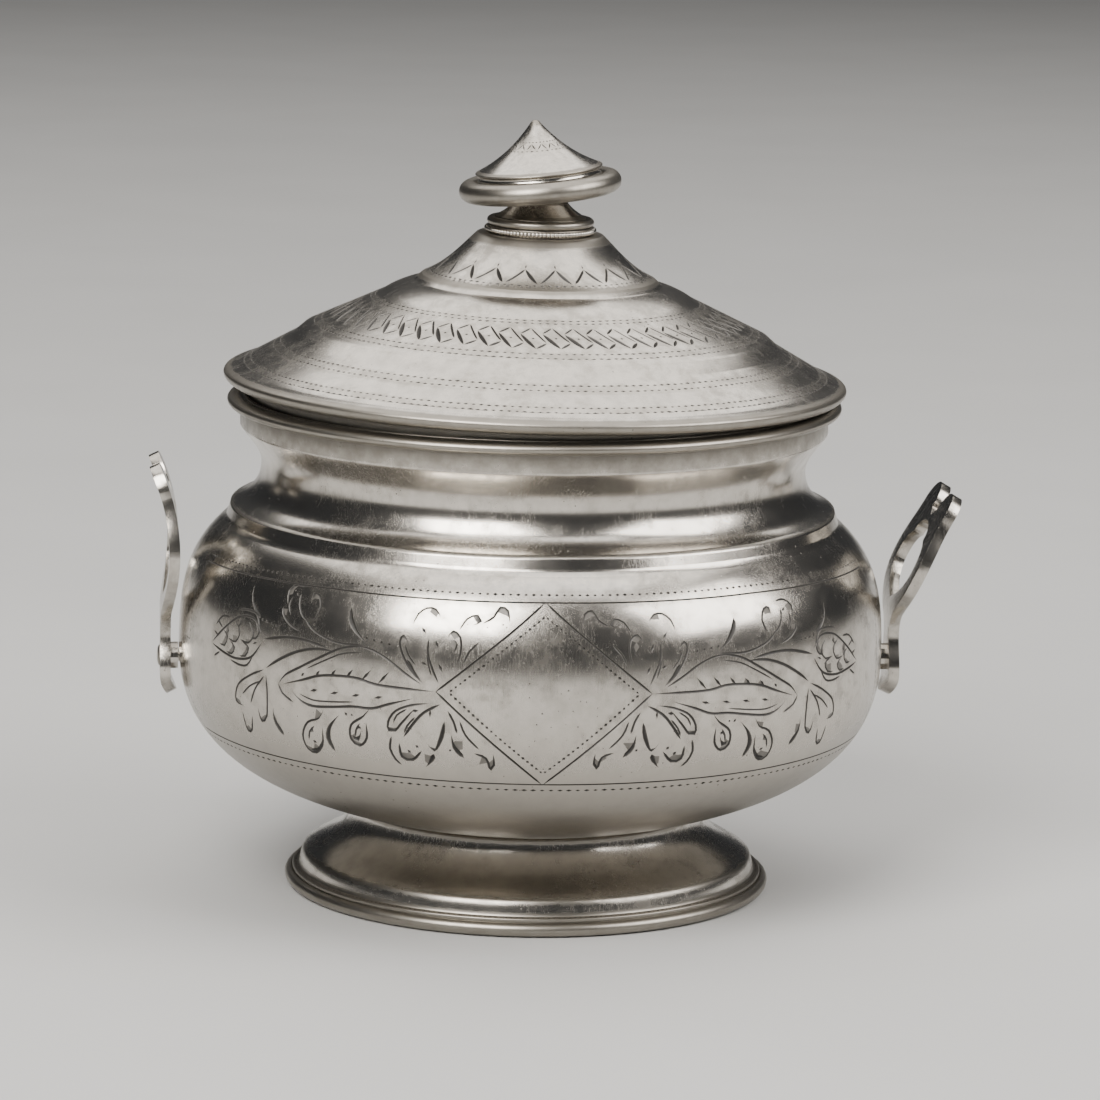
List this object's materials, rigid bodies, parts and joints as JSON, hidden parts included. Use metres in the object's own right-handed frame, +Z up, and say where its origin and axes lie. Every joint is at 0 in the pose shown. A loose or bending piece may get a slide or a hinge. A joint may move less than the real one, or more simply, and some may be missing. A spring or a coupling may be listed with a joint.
{
  "type": "lidded silver sugar bowl",
  "caption": "Round-bellied silver sugar bowl on a flared foot, with pierced strap handles riveted to the belly and a stepped, engraved lift-off lid with a turned, slightly bent finial.",
  "frame": {"origin": "on the table under the foot, midway between the outermost points of the two handles and between front and back; the bowl's own axis stands 3.75 mm to -X of it, because the right-hand handle is bent further out", "axes": "+Z up along the bowl's axis, +X from the left-hand handle to the right-hand one, -Y towards the front, which is the side with the engraved diamond seen in the picture"},
  "size_m": [0.1378, 0.12, 0.1313],
  "materials": {
    "silver": "worn polished silver, slightly warm, with dark tarnish left in the engraving",
    "cast_silver": "worn cast silver, softly polished, darker in the corners",
    "finial_silver": "turned silver, polished on the high edges and tarnished in the grooves",
    "stud_brass": "dull old brass"
  },
  "bodies": {
    "bowl": {"bowl_shell": "silver", "mouth_wire": "silver", "foot": "silver", "foot_wire": "silver", "left_handle": "cast_silver", "left_handle_boss": "cast_silver", "left_handle_rivet": "cast_silver", "right_handle": "cast_silver", "right_handle_boss": "cast_silver", "right_handle_rivet": "cast_silver"},
    "lid": {"lid_shell": "silver", "lid_bezel": "silver", "finial_bead_ring": "finial_silver", "finial_collar": "finial_silver", "finial_stem": "finial_silver", "finial_stud": "stud_brass", "finial_washer": "stud_brass", "finial_nut": "stud_brass", "finial_dish": "finial_silver", "finial_ring": "finial_silver", "finial_cap": "finial_silver"}
  },
  "joints": [
    {"name": "lid_lift", "type": "slide", "parent": "bowl", "child": "lid", "axis": [0, 0, 1], "range_m": [0, 0.06]}
  ]
}
